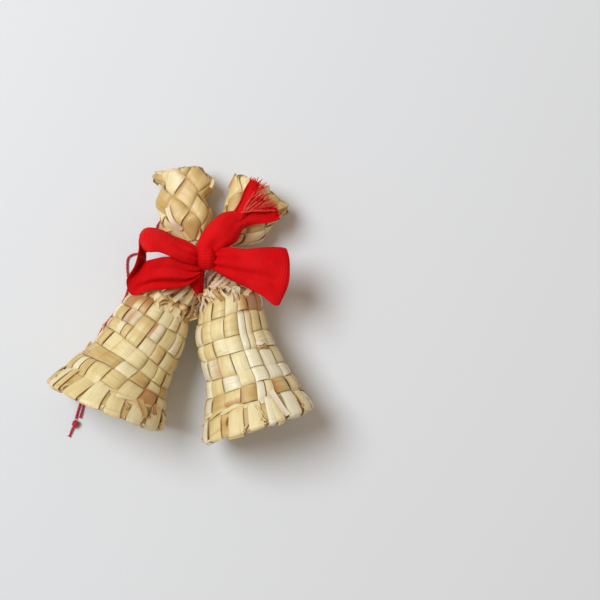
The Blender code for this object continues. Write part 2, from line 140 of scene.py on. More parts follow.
def spaced(points, pitch):
    """Reads places a set distance apart from one smooth curve through the points."""
    steps = CURVE_STEPS * len(points)
    fine = [point_on(points, step / steps * (len(points) - 1), power=0.5) for step in range(steps + 1)]
    lengths = lengths_along(fine)
    count = max(2, round(lengths[-1] / pitch) + 1)
    places = []
    index = 0
    for step in range(count):
        wanted = lengths[-1] * step / (count - 1)
        while index < len(fine) - 2 and lengths[index + 1] < wanted:
            index += 1
        share = (wanted - lengths[index]) / (lengths[index + 1] - lengths[index])
        places.append(fine[index].lerp(fine[index + 1], min(1.0, share)))
    return places


def sides_along(directions):
    """Two sides for each direction of a line. They turn with it as little as they can."""
    along = directions[0].normalized()
    side = along.orthogonal().normalized()
    sides = []
    for direction in directions:
        turned = direction.normalized()
        side = along.rotation_difference(turned) @ side
        along = turned
        sides.append((side, along.cross(side)))
    return sides


def new_shape():
    """An empty shape, whose points know their place on a straw, cloth or thread, and how worn they are. On
    woven and plaited straws this wear also holds painted shade beside each crossing.
    """
    bm = bmesh.new()
    bm.verts.layers.float_vector.new("lay")
    bm.verts.layers.float.new("wear")
    return bm


def tube(bm, route, radius, sides, outline, tone=0.5):
    """A closed tube along the route. The outline gives a share of the radius for each angle and run."""
    ways = [after - before for before, after in zip([route[0], *route], [*route[1:], route[-1]])]
    frames = list(zip(route, sides_along(ways), lengths_along(route)))
    lay = bm.verts.layers.float_vector["lay"]
    last = len(route) - 1
    made = bmesh.ops.create_grid(bm, x_segments=sides, y_segments=last, size=1.0)["verts"]
    for vert in made:
        share = vert.co.x
        place, (side, up), length = frames[round((vert.co.y + 1) / 2 * last)]
        run = length / MM
        angle = pi * share
        reach = radius * outline(angle, run)
        vert.co = place + (side * cos(angle) + up * sin(angle)) * reach
        vert[lay] = (share, run, tone)
    bmesh.ops.remove_doubles(bm, verts=made, dist=0.01 * MM)
    rims = {edge for vert in made if vert.is_valid for edge in vert.link_edges if edge.is_boundary}
    bmesh.ops.holes_fill(bm, edges=list(rims), sides=0)


def two_ply(turn, waist):
    """The outline of two twisted plies, which goes round once in each turn."""
    return lambda angle, run: 1 - waist * sin(angle - tau * run / turn) ** 2


def piece(name, bm, finish, thickness=0.0):
    """Makes a shape one of the ornament's pieces, which all keep together. A sheet gets a thickness."""
    bmesh.ops.recalc_face_normals(bm, faces=bm.faces)
    mesh = bpy.data.meshes.new(name)
    bm.to_mesh(mesh)
    bm.free()
    made = placed(name, mesh)
    if thickness:
        wall = made.modifiers.new("thickness", "SOLIDIFY")
        wall.thickness = thickness * MM
        wall.offset = 0.0
        thick = made.evaluated_get(bpy.context.evaluated_depsgraph_get())
        made.data = bpy.data.meshes.new_from_object(thick)
        made.modifiers.clear()
        bpy.data.meshes.remove(mesh)
    made.data.name = name
    made.data.shade_smooth()
    made.data.set_sharp_from_angle(angle=radians(SHARP_ANGLE))
    made.data.materials.append(finish)
    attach(made, "root")
    return made


class Field:
    """A socket of a finish under way. Its numbers can be worked with in plain sums."""

    def __init__(self, tree, socket=None):
        self.tree = tree
        self.socket = socket

    def fill(self, node, values):
        for key, value in values.items():
            if isinstance(value, Field):
                self.tree.links.new(value.socket, node.inputs[key])
            else:
                node.inputs[key].default_value = value

    def node(self, kind, settings, values, output=0):
        """Adds a node of any kind: its settings first, then the values or links of its sockets."""
        made = self.tree.nodes.new(kind)
        for key, setting in settings.items():
            if key == "stops":
                ramp = made.color_ramp
                ramp.elements.remove(ramp.elements[1])
                ramp.elements[0].position = setting[0][0]
                ramp.elements[0].color = (*setting[0][1], 1.0)
                for position, colour in setting[1:]:
                    ramp.elements.new(position).color = (*colour, 1.0)
            else:
                setattr(made, key, setting)
        self.fill(made, values)
        return Field(self.tree, made.outputs[output])

    def work(self, operation, *terms):
        return self.node("ShaderNodeMath", {"operation": operation}, dict(enumerate(terms)))

    def __add__(self, other):
        return self.work("ADD", self, other)

    def __sub__(self, other):
        return self.work("SUBTRACT", self, other)

    def __rsub__(self, other):
        return self.work("SUBTRACT", other, self)

    def __mul__(self, other):
        return self.work("MULTIPLY", self, other)

    __radd__ = __add__
    __rmul__ = __mul__

    def axes(self):
        split = self.node("ShaderNodeSeparateXYZ", {}, {"Vector": self})
        return [Field(self.tree, output) for output in split.socket.node.outputs]

    def join(self, x, y, z):
        return self.node("ShaderNodeCombineXYZ", {}, {"X": x, "Y": y, "Z": z})

    def attribute(self, name, output):
        return self.node("ShaderNodeAttribute", {"attribute_name": name}, {}, output)

    def noise(self, place, scale, detail=2.0):
        return self.node("ShaderNodeTexNoise", {}, {"Vector": place, "Scale": scale, "Detail": detail})

    def rise(self, low, high):
        """Goes smoothly from 0 at the low number to 1 at the high one."""
        values = {"Value": self, "From Min": low, "From Max": high}
        return self.node("ShaderNodeMapRange", {"interpolation_type": "SMOOTHSTEP"}, values)

    def mix(self, first, second, share):
        """Mixes two colours, by their places in the node: 6 and 7, and 2 for what comes out."""
        settings = {"data_type": "RGBA", "clamp_factor": True}
        return self.node("ShaderNodeMix", settings, {"Factor": share, 6: first, 7: second}, 2)

    def bump(self, height, depth, strength=1.0):
        return self.node("ShaderNodeBump", {}, {"Height": height, "Distance": depth, "Strength": strength})


def finish_of(name):
    made = bpy.data.materials.new(name)
    made.use_nodes = True
    return made, Field(made.node_tree)


def shade(made, start, values):
    start.fill(made.node_tree.nodes["Principled BSDF"], values)
    return made


def thread_finish():
    """Crimson cotton with fine fibres that follow the twist."""
    made, start = finish_of("crimson thread")
    turn, run, _ = start.attribute("lay", "Vector").axes()
    fibres = start.noise(start.join(turn * 2.0 + run * 1.1, run * 0.25, 0.0), 6.0, 3.0)
    colour = start.mix(THREAD_LIGHT, THREAD_DARK, fibres.rise(0.35, 0.75))
    normal = start.bump(fibres, 0.0001)
    values = {"Base Color": colour, "Normal": normal, "Roughness": 0.75, "Sheen Weight": 0.3}
    return shade(made, start, values)


crimson = thread_finish()
thread_plies = two_ply(THREAD_TURN, THREAD_WAIST)


def strand(name, points):
    route = spaced([at(*point) for point in points], THREAD_STEP * MM)
    bm = new_shape()
    tube(bm, route, THREAD_DIAMETER / 2 * MM, THREAD_SIDES, thread_plies)
    made = piece(f"{name}_strand", bm, crimson)
    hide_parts(name)
    return made, route, lengths_along(route)[-1]


def wound_knot():
    """Two and a half turns drawn tight round both strands, and the cut ends past them."""
    middle = at(*THREAD_KNOT_AT, THREAD_KNOT_RADIUS)
    end = at(*THREAD_TAIL_END, THREAD_DIAMETER / 2)
    forward = (end - middle).normalized()
    side = forward.cross(Vector((0, 0, 1))).normalized()
    up = side.cross(forward)
    radius = THREAD_DIAMETER / 2 * MM
    coil = (THREAD_KNOT_RADIUS - THREAD_DIAMETER / 2) * MM
    turns = []
    for step in range(THREAD_KNOT_STEPS + 1):
        share = step / THREAD_KNOT_STEPS
        angle = tau * THREAD_KNOT_TURNS * share
        reach = coil * (0.75 + 0.25 * sin(pi * share))
        travel = forward * THREAD_KNOT_RADIUS * MM * (1.5 * share - 0.75)
        turns.append(middle + travel + (side * cos(angle) + up * sin(angle)) * reach)
    bm = new_shape()
    tube(bm, turns, radius, THREAD_SIDES, thread_plies)
    back = middle - forward * THREAD_KNOT_RADIUS * MM * 0.9
    tail = spaced([back, middle, middle.lerp(end, 0.55) + side * 0.25 * MM, end], THREAD_STEP * MM)
    tube(bm, tail, radius, THREAD_SIDES, thread_plies)
    for spread in FIBRE_SPREADS:
        tip = end + forward * FIBRE_LENGTH * MM + side * spread * MM
        fibre = [end - forward * 0.4 * MM, end.lerp(tip, 0.5), tip]
        tube(bm, spaced(fibre, THREAD_STEP * MM), FIBRE_RADIUS * MM, 5, lambda angle, run: 1.0)
    made = piece("thread_knot_tied", bm, crimson)
    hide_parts("thread_knot")
    return made


tied = wound_knot()
long_strand, long_route, long_length = strand("hanging_thread_long", LONG_STRAND)
short_strand, short_route, short_length = strand("hanging_thread_short", SHORT_STRAND)
tuple(long_route[0])
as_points(long_route)
tuple(short_route[-1])
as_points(list(reversed(short_route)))

# The bells
# Sixteen flat straws run down each bell, over and under the straws that go round it. At the mouth they are
# folded back over the outside and tucked in, and at the shoulder they are drawn together for the neck.
WARPS = 16
ROWS = 6  # full rows of straw round a bell, above the folded rim
STRAW_THICKNESS = 0.32
STRAW_WIDTH = 0.97  # share of its lane that a straw fills
LIFT = 0.5  # how far a straw goes over and under the middle of the weave
SWELL = 0.34  # how far the middle of a crossing swells out
CURL = 0.26  # how far a straw's edges turn down
BEND = 0.2  # share of a crossing in which a straw goes down beside it
BASE = -0.4  # middle of the weave, from the bell's own outline
WANDER = 0.24  # how far lanes stray, as a share of a lane
UNEVEN = 0.5  # how far the weave stands in and out of the outline
TAB_HEIGHT = 0.6  # of the straws' folded ends above the middle of the weave
TAB_END = 2.04  # row in which they are tucked in
TAB_SHORTER = 0.25  # rows by which some of them are shorter
FOLD = 0.5  # rows over which a straw is folded back at the mouth
NOSE = 0.4  # rows by which a fold stands out past the mouth's edge
MOUTH_REACH = -1.0  # row that the longest folds come to
MOUTH_DROP = 0.3
SETTLED = 0.35  # how far the straw gives where it rests on the table
PRESSED = 0.8  # height in which a rim gives way to the table
PRESSED_FLAT = 0.2  # middle of a straw that lies flat on it
TWIST_FROM = 0.3  # share of the length at which the shoulder's twist is nought
SHOULDER_ROW = 7.2  # where the straws begin to be browner
SHOULDER_RISE = 3.5
NECK_RADIUS = 2.6
ROOT_LIP = 0.5
CROWN_SHARE = 0.33  # radius between the shoulder and the neck, as a share of the mouth's
CROWN_RISE = 0.55
RIM_SHARE = 0.95
RIM_BITS = 38  # short broken straws in the rim
WHOLE = 0.48  # half the width of a straw in its lane
DOUBLED = ((-0.26, 0.235), (0.25, 0.225))  # middle and half width of two straws that share a lane
DOWN_STEPS = 110
ROUND_STEPS = 6  # for each crossing
DOWN_PACE = 6.0  # length of straw to a row
ROUND_PACE = 6.5  # length of straw to a crossing
LOOSE_STEPS = 7
LOOSE_CURL = 0.2
# Each row's lower edge: share of the mouth's radius, and share of the length from the mouth
BELL_ROWS = (
    (0.965, 0.03), (0.845, 0.19), (0.745, 0.31), (0.68, 0.42),
    (0.64, 0.565), (0.615, 0.69), (0.575, 0.85), (0.47, 1.0),
)
STRAW_TONES = (
    (0.0, (0.60, 0.39, 0.13)),
    (0.2, (0.76, 0.55, 0.22)),
    (0.42, (0.86, 0.69, 0.33)),
    (0.65, (0.91, 0.78, 0.44)),
    (0.85, (0.95, 0.87, 0.61)),
    (1.0, (0.95, 0.79, 0.58)),
)
STRAW_BROWN = (0.46, 0.17, 0.035, 1.0)
STRAW_GRAIN = (0.42, 0.28, 0.10, 1.0)
# Browner straw edges, with painted shade of the gaps between straws
STRAW_EDGE_AND_GAP_SHADE = (0.34, 0.19, 0.07, 1.0)
# Painted shade beside each crossing, where a straw dips under the next one
DIP_SHADE = 0.5


def turn(heading, pitch):
    """Stands local +Z along the heading in plan, dipping by the pitch."""
    dip = Matrix.Rotation(-radians(90 + pitch), 4, "X")
    return Matrix.Rotation(-radians(heading), 4, "Z") @ dip


def pressed(place):
    """Lets what would reach into the table lie flat on it."""
    limit = PRESSED * MM
    if place.z < limit:
        give = (PRESSED - PRESSED_FLAT) * MM
        place.z = limit - give * (1 - exp((place.z - limit) / give))
    return place


def bell_skin(shoulder, heading, pitch, radius, length, drawn, bow, skew, seed):
    """The bell's outline. It gives a place from the warp, the row and the height above the weave.

    Drawn is how far the shoulder is twisted, in degrees, and moved aside. Bow is how far the bell bends
    aside, and where. Skew is how much the mouth and the rows in the middle slant.
    """
    turned = turn(heading, pitch)
    mouth = at(*shoulder, 0) - turned.to_3x3() @ Vector((0, 0, length * MM))
    mouth.z = (radius * cos(radians(pitch)) - SETTLED) * MM
    stand = Matrix.Translation(mouth) @ turned
    upright = tan(radians(pitch))
    profile = [Vector((RIM_SHARE * radius, 0.0))]
    profile += [Vector((share * radius, row * length)) for share, row in BELL_ROWS]
    profile.append(Vector((CROWN_SHARE * radius, length + CROWN_RISE * SHOULDER_RISE)))
    profile.append(Vector((NECK_RADIUS + ROOT_LIP, length + SHOULDER_RISE)))

    def skin(warp, row, height):
        angle = tau * (warp - 0.5) / WARPS
        spot = Vector((1.3 * cos(angle), 1.3 * sin(angle), row / 2.2 + seed))
        stray = WANDER * min(1.0, max(0.0, row) / 2)
        angle += tau / WARPS * stray * noise.noise(spot)
        row += stray * noise.noise(spot + Vector((5.2, 0, 0)))
        row = min(max(row, MOUTH_REACH), len(profile) - 1.0)
        if row < 0:
            place = profile[0].lerp(profile[1], row)
            slope = (profile[1] - profile[0]).normalized()
        else:
            place = point_on(profile, row)
            slope = (point_on(profile, row + 0.05) - point_on(profile, row)).normalized()
        height += BASE + UNEVEN * noise.noise(spot * 0.8 + Vector((0, 7.7, 0)))
        away = place.x + height * slope.y
        rise = place.y - height * slope.x
        share = min(1.0, max(0.0, place.y / length))
        angle += radians(drawn[0]) * (share - TWIST_FROM)
        sideways = bow[0] * sin(pi * share ** bow[1]) ** 2
        sideways += drawn[1] * max(0.0, (place.y - length) / SHOULDER_RISE)
        local = Vector((away * cos(angle) + sideways, away * sin(angle), rise))
        local.z += (1 - share) * (local.y * upright + local.x * skew[0] - MOUTH_DROP)
        local.z += local.x * skew[1] * sin(pi * share) ** 2
        return pressed(stand @ (local * MM))

    return skin


def lift(over, run):
    """A straw's height, from whether it is over or under at each crossing. It is steep beside each."""
    cell = floor(run)
    share = run - cell
    near = cell - 1 if share < 0.5 else cell + 1
    edge = min(1.0, min(share, 1 - share) / BEND)
    mix = 0.5 + 0.25 * edge * (3 - edge * edge)
    swell = SWELL * (1 - (2 * share - 1) ** 2) if over(cell) > 0 else 0.0
    return LIFT * (over(near) * (1 - mix) + over(cell) * mix) + swell


def dip_shade(run):
    """Painted shade: the straw is painted browner beside each crossing, where it dips under the next one."""
    return DIP_SHADE * (2 * (run - floor(run)) - 1) ** 4


def straw(bm, place, start, end, steps, tone, pace, columns=4, worn=None):
    """Lays one flat straw. Place gives its points from the share across, -1 to 1, and the run along it."""
    lay = bm.verts.layers.float_vector["lay"]
    wear = bm.verts.layers.float["wear"]
    made = bmesh.ops.create_grid(bm, x_segments=columns, y_segments=steps, size=1.0)["verts"]
    for vert in made:
        across = vert.co.x
        run = start + (end - start) * (vert.co.y + 1) / 2
        vert.co = place(across, run)
        vert[lay] = (across, run * pace, tone)
        vert[wear] = worn(across, run) if worn else 0.0


def straw_finish(name, tones, seed):
    """Flat dried straw: satin, with fine grain along it, each straw's own tone, and browner edges that are
    partly painted shade of the gaps between straws.
    """
    made, start = finish_of(name)
    across, run, tone = start.attribute("lay", "Vector").axes()
    # Wear, stains and burnt ends, with painted shade beside each crossing on the weave and the plait
    worn = start.attribute("wear", "Fac")
    spot = start.node("ShaderNodeTexCoord", {}, {}, "Object")
    grain = start.noise(start.join(across * 3.0 + tone * 40.0, run * 0.05, tone * 70.0 + seed), 4.0, 4.0)
    streaks = start.noise(start.join(across * 0.8 + tone * 30.0, run * 0.06, tone * 50.0 + seed), 2.0, 1.0)
    mottle = start.noise(spot, 160.0, 3.0)
    shift = tone + (streaks - 0.5) * 0.5 + (mottle - 0.5) * 0.3
    colour = start.node("ShaderNodeValToRGB", {"stops": tones}, {"Fac": shift})
    colour = start.mix(colour, STRAW_GRAIN, grain.rise(0.48, 0.8) * 0.55)
    # Browner edges, partly the straw's own and partly painted shade in the gaps between straws
    edge = across.work("ABSOLUTE", across).rise(0.88, 1.0)
    colour = start.mix(colour, STRAW_EDGE_AND_GAP_SHADE, edge * 0.5)
    # Stains, burnt ends and dry straw, with painted shade beside each crossing, mixed toward brown
    wear_and_shade_patch = (worn + (mottle - 0.5) * 0.5).rise(0.25, 0.95)
    colour = start.mix(colour, STRAW_BROWN, wear_and_shade_patch * 0.85)
    normal = start.bump(grain + streaks * 1.5, 0.00012, 0.8)
    rough = 0.3 + grain * 0.22
    return shade(made, start, {"Base Color": colour, "Normal": normal, "Roughness": rough})


straw_weave = straw_finish("woven straw", STRAW_TONES, 0.0)


def loose_straw(bm, route, out, wide, taper, tone, wear):
    """Lays a short loose straw along a route, with its face to one side."""
    last = len(route) - 1
    out = out.normalized()
    side = (route[-1] - route[0]).cross(out).normalized()

    def place(across, run):
        width = wide * (1 + (taper - 1) * run / last)
        aside = side * across * width + out * LOOSE_CURL * across * across
        return pressed(point_on(route, run) + aside * MM)

    def worn(across, run):
        return wear * (0.6 + 0.4 * abs(across) ** 3)

    straw(bm, place, 0, last, LOOSE_STEPS * last, tone, 2.0, worn=worn)


def straw_on(bm, skin, points, wide, taper, tone, wear):
    """Lays a loose straw through places on a weave, each given across it, up it and above it."""
    across, up, above = points[len(points) // 2]
    out = skin(across, up, above + 1) - skin(across, up, above)
    loose_straw(bm, [skin(*point) for point in points], out, wide, taper, tone, wear)


def woven_bell(name, skin, seed, pale, lashed, doubled, floats, stains, loose):
    """One bell's straws: those that run down it, with their folded ends, and those that go round it.

    Pale shifts their tones, lashed is the warp where the lashing shows, and doubled are the lanes that
    have two narrow straws.
    """
    rng = random.Random(seed)
    bm = new_shape()

    def over(warp, row):
        sign = 1 if (warp + row) % 2 else -1
        return -sign if (warp % WARPS, row) in floats else sign

    def stained(warp, row):
        depths = []
        for across, up, reach, deep in stains:
            depths.append(deep * exp(-(((warp - across) / reach) ** 2) - ((row - up) / reach) ** 2))
        return sum(depths)

    def own_tone():
        return pale + (1 - abs(pale)) * rng.random()

    def run_down(lane, centre, half):
        """A straw that runs down the bell, from its tucked end round the mouth's edge to the neck."""
        tone = own_tone()
        end = TAB_END - TAB_SHORTER * rng.random() ** 2
        tilt = rng.uniform(-0.17, 0.17)
        slim = rng.uniform(0.74, 0.92)
        nose = rng.uniform(-0.6, 0.4)
        burnt = rng.random() ** 3
        kink = rng.uniform(-0.35, 0.35)

        def own_over(row):
            if row < 2:
                return -1
            if row >= ROWS + 2:
                return 0.8 if lane % 2 and row == ROWS + 2 else -0.2
            return over(lane, row)

        def place(across, run):
            turned = 0.5 + 0.5 * sin(pi / 2 * min(1.0, max(-1.0, run / FOLD)))
            row = abs(run) - NOSE * max(0.0, 1 - (run / FOLD) ** 2)
            row += (nose + kink * across) * max(0.0, 1 - abs(run) / 1.7)
            tuck = min(1.0, max(0.0, (end + run) / 0.3))
            tab = TAB_HEIGHT * (0.2 + 0.8 * tuck) + SWELL * sin(pi * min(1.0, abs(run) / end))
            height = tab * (1 - turned) + lift(own_over, max(0.0, row)) * turned
            height -= CURL * across * across
            wide = half * STRAW_WIDTH * (1 + (slim - 1) * (1 - turned))
            middle = lane + 0.5 + centre + tilt * abs(run) * (1 - turned)
            return skin(middle + across * wide, row, height)

        def worn(across, run):
            dry = max(0.0, (run - SHOULDER_ROW) / 3)
            tip = burnt * max(0.4, 1 - (end + run) / 0.5) if run < 0 else dry
            # Burnt tip or dry straw and stains, with painted shade beside each crossing
            return tip + stained(lane + 0.5, abs(run)) + dip_shade(run)

        straw(bm, place, -end, ROWS + 4, DOWN_STEPS, tone, DOWN_PACE, worn=worn)

    def go_round(row):
        tone = own_tone()
        burnt = rng.uniform(0, WARPS)

        def place(across, run):
            height = lift(lambda warp: -over(warp, row), run) - CURL * across * across
            return skin(run, row + 0.5 + across * 0.5 * STRAW_WIDTH, height)

        def worn(across, run):
            dry = 0.7 * max(0.0, 1 - abs(run - burnt) / 0.8)
            # A burnt patch and stains, with painted shade beside each crossing
            return dry + stained(run, row + 0.5) + dip_shade(run)

        straw(bm, place, 0, WARPS, WARPS * ROUND_STEPS, tone, ROUND_PACE, worn=worn)

    def lash(phase):
        """One of two thin straws twined round the bell where the folded ends are tucked in."""

        def place(across, run):
            swing = pi * (run - 0.5 + phase)
            hidden = max(0.0, noise.noise(Vector((run * 0.9, seed, phase))) * 3 - 0.2)
            hidden += max(0.0, abs(run - lashed) - 1.3)
            height = 0.4 + 0.5 * cos(swing) - CURL * across * across - min(1.2, hidden)
            return skin(run, 1.95 + across * 0.1 + 0.08 * sin(swing), height)

        straw(bm, place, 0, WARPS, WARPS * ROUND_STEPS, 0.3 + 0.3 * phase, ROUND_PACE, columns=3)

    def rim_core(across, run):
        bulge = 0.5 * noise.noise(Vector((run * 1.7, across * 2, seed)))
        return skin(run, 1.05 + across * 0.75, bulge - 0.1)

    for lane in range(WARPS):
        straws = DOUBLED if lane in doubled else ((rng.uniform(-0.04, 0.04), WHOLE),)
        for centre, half in straws:
            run_down(lane, centre, half)
    for row in range(2, ROWS + 2):
        go_round(row)
    for phase in (0, 1):
        lash(phase)
    straw(bm, rim_core, 0, WARPS, WARPS * 5, 0.1, ROUND_PACE, worn=lambda across, run: 0.3)
    for _ in range(RIM_BITS):
        lane = rng.choice(range(WARPS)) + rng.uniform(-0.12, 0.12)
        low = rng.uniform(0.5, 1.6)
        slant = rng.uniform(-0.25, 0.25)
        top = rng.uniform(0.6, 1.2)
        route = ((lane, low, 0.1), (lane + 0.3 * slant, low + 0.12, top), (lane + slant, low + 0.3, 0.2))
        straw_on(bm, skin, route, rng.uniform(0.3, 0.6), 0.6, rng.random(), rng.uniform(0.1, 0.9))
    for wide, tone, wear, route in loose:
        straw_on(bm, skin, route, wide, 0.8, tone, wear)
    bmesh.ops.remove_doubles(bm, verts=bm.verts, dist=0.002 * MM)
    made = piece(f"{name}_weave", bm, straw_weave, thickness=STRAW_THICKNESS)
    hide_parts(name)


left_skin = bell_skin((-16.0, -15.4), 28.8, 8.0, 22.0, 39.6, (31.0, 7.0), (1.0, 1.0), (0.1, -0.17), 3.1)
right_skin = bell_skin((7.7, -12.6), -13.1, 5.5, 20.3, 45.2, (4.0, -3.0), (-1.8, 2.2), (0.085, 0.0), 8.4)
# Crossings that go over where they would go under, as warp and row
LEFT_FLOATS = {(11, 4), (11, 5), (10, 3), (10, 2)}
RIGHT_FLOATS = {(12, 4), (12, 5), (14, 4), (14, 5), (13, 4), (13, 5)}
# Brown stains: warp, row, reach and depth
LEFT_STAINS = (
    (10.2, 8.0, 0.9, 0.9),
    (11.9, 6.6, 0.35, 2.0),
    (14.4, 2.6, 0.8, 0.8),
    (15.2, 4.2, 0.8, 0.5),
    (10.0, 1.4, 0.5, 0.5),
)
RIGHT_STAINS = (
    (14.3, 7.8, 1.1, 1.1),
    (11.7, 2.2, 0.25, 1.5),
    (9.2, 2.0, 0.5, 0.5),
    (14.6, 5.1, 0.4, 0.7),
    (10.2, 7.9, 0.6, 0.4),
)
# Straws that have slipped out of the weave: width, tone and wear, then places as warp, row and height
LEFT_SLIPPED = (
    (1.5, 0.2, 0.7, ((14.1, 2.2, 0.4), (14.3, 1.9, 0.9), (14.6, 1.6, 0.9), (14.8, 1.3, 0.4))),
    (1.1, 0.0, 0.9, ((15.0, 2.3, 0.4), (14.9, 2.0, 1.0), (15.1, 1.7, 1.0), (15.5, 1.5, 0.3))),
    (0.8, 0.4, 0.5, ((8.9, 3.2, 0.2), (8.8, 3.4, 0.8), (8.7, 3.6, 1.1), (8.6, 3.75, 1.2))),
    (0.9, 0.3, 0.7, ((8.8, 4.6, 0.2), (8.7, 4.8, 0.9), (8.7, 4.95, 1.4), (8.6, 5.0, 1.7))),
)
RIGHT_SLIPPED = (
    (1.4, 0.97, 0.0, ((13.7, 2.3, 0.6), (13.8, 1.9, 1.0), (13.95, 1.4, 1.0), (14.1, 0.9, 0.8))),
    (0.8, 0.97, 0.2, ((14.0, 5.3, 0.4), (14.3, 5.2, 1.0), (14.6, 5.25, 1.0), (14.9, 5.1, 0.4))),
    (0.6, 0.1, 0.9, ((14.0, 4.9, 0.3), (14.3, 5.0, 1.0), (14.6, 4.9, 1.0), (14.9, 4.8, 0.3))),
)
woven_bell("left_bell", left_skin, 11, -0.1, 14.0, (3, 10), LEFT_FLOATS, LEFT_STAINS, LEFT_SLIPPED)
woven_bell("right_bell", right_skin, 23, 0.0, 10.2, (2, 5, 13), RIGHT_FLOATS, RIGHT_STAINS, RIGHT_SLIPPED)

# The necks
# The straws of each bell are twisted together like a loose rope, paler than the weave, which runs from the
# shoulder under the ribbon to the handle.
CLEARANCE = 0.3  # between each neck and the middle
STRANDS = 8
STRAND_RADIUS = 1.0
STRAND_INSET = 0.35
STRAND_STRAY = 0.9
STRAND_TURN = 17.0  # from one turn of a strand round the neck to the next
STRAND_STEP = 0.4
SPREAD = 2.8  # how much farther out the strands start at the bell
SPREAD_END = 8.0
BAND_WIDTH = 4.2  # of the ribbon's turn round the necks
BAND_SHIFT = 0.6  # of its middle towards the handles
CROSSING_Z = 14.1
LEFT_HANDLE_LENGTH = 26.4
RIGHT_HANDLE_LENGTH = 23.7
HANDLE_HALF_DEPTH = 7.6
HANDLE_PITCH = 11.0
STRING_PALE = (0.97, 0.76, 0.58, 1.0)
STRING_GOLD = (0.93, 0.70, 0.41, 1.0)
STRING_BROWN = (0.55, 0.28, 0.12, 1.0)


def handle_stand(base, heading, length):
    """The handle's own place: its origin where the neck ends, and +Z to its far end, down on the table."""
    rise = (HANDLE_HALF_DEPTH - SETTLED) + length * sin(radians(HANDLE_PITCH))
    return Matrix.Translation(at(*base, rise)) @ turn(heading, HANDLE_PITCH)


def middle_of(skin, row):
    """The middle of one row of a weave."""
    return sum((skin(warp, row, 0.0) for warp in range(WARPS)), Vector()) / WARPS


def under_ribbon(side, end):
    """Where a neck goes in under the ribbon, at the end nearer the bell, -1, or the handle, 1."""
    return at(side * (NECK_RADIUS + CLEARANCE), BAND_SHIFT + end * BAND_WIDTH / 2, CROSSING_Z)


def string_finish():
    """Twisted straw fibre, pale and a little pink."""
    made, start = finish_of("straw string")
    turned, run, tone = start.attribute("lay", "Vector").axes()
    fibres = start.noise(start.join(turned * 2.2 + run * 0.6, run * 0.3, tone * 9.0), 5.0, 3.0)
    colour = start.mix(STRING_PALE, STRING_GOLD, tone.rise(0.3, 0.7))
    colour = start.mix(colour, STRING_BROWN, fibres.rise(0.5, 0.85) * 0.5)
    normal = start.bump(fibres, 0.0002)
    return shade(made, start, {"Base Color": colour, "Normal": normal, "Roughness": 0.6})


straw_string = string_finish()


def wound_neck(name, skin, handle, side, seed):
    """The strands wind round the neck's own line, and spread where they come out of the bell."""
    rng = random.Random(seed)
    root = middle_of(skin, 10)
    line = [
        root,
        root.lerp(under_ribbon(side, -1), 0.45),
        under_ribbon(side, -1),
        under_ribbon(side, 1),
        handle @ Vector((0, 0, -NECK_RADIUS / 2 * MM)),
        handle @ Vector((0, 0, 1.5 * MM)),
    ]
    places = spaced(line, STRAND_STEP * MM)
    ways = [after - before for before, after in zip(places, places[1:])]
    frames = list(zip(places, sides_along([ways[0], *ways])))
    bm = new_shape()
    for index in range(STRANDS):
        first = tau * (index + rng.uniform(-0.25, 0.25)) / STRANDS
        inner = 0.55 if index % 3 == 2 else 1.0
        route = []
        for step, (place, (out, up)) in enumerate(frames):
            run = step * STRAND_STEP
            angle = first + tau * run / STRAND_TURN
            stray = noise.noise(Vector((run / 3.5, index * 2.3, seed)))
            spread = SPREAD * max(0.0, 1 - run / SPREAD_END)
            reach = (NECK_RADIUS - STRAND_INSET) * inner + spread + STRAND_STRAY * stray
            route.append(place + (out * cos(angle) + up * sin(angle)) * reach * MM)
        radius = STRAND_RADIUS * rng.uniform(0.75, 1.15)
        tube(bm, route, radius * MM, 10, two_ply(turn=3.6, waist=0.35), tone=rng.random())
    made = piece(f"{name}_wound", bm, straw_string)
    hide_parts(name)


left_grip = handle_stand((-4.6, 7.4), -6.9, LEFT_HANDLE_LENGTH)
right_grip = handle_stand((5.0, 7.2), 31.0, RIGHT_HANDLE_LENGTH)
wound_neck("left_neck_binding", left_skin, left_grip, -1, 2)
wound_neck("right_neck_binding", right_skin, right_grip, 1, 4)

# The folded ends at the shoulders
# Where the straws of a bell are drawn together their ends are folded over and poked back through the weave.
# They stand up as a ring of small crumpled loops and points, brown where the straw has dried and split.
DRAWN_COUNT = 16  # straws drawn in to a neck
END_COUNT = 24  # loops and points all round a shoulder
ROUGH_COUNT = 24  # more of them on its rough side
END_THICKNESS = 0.22


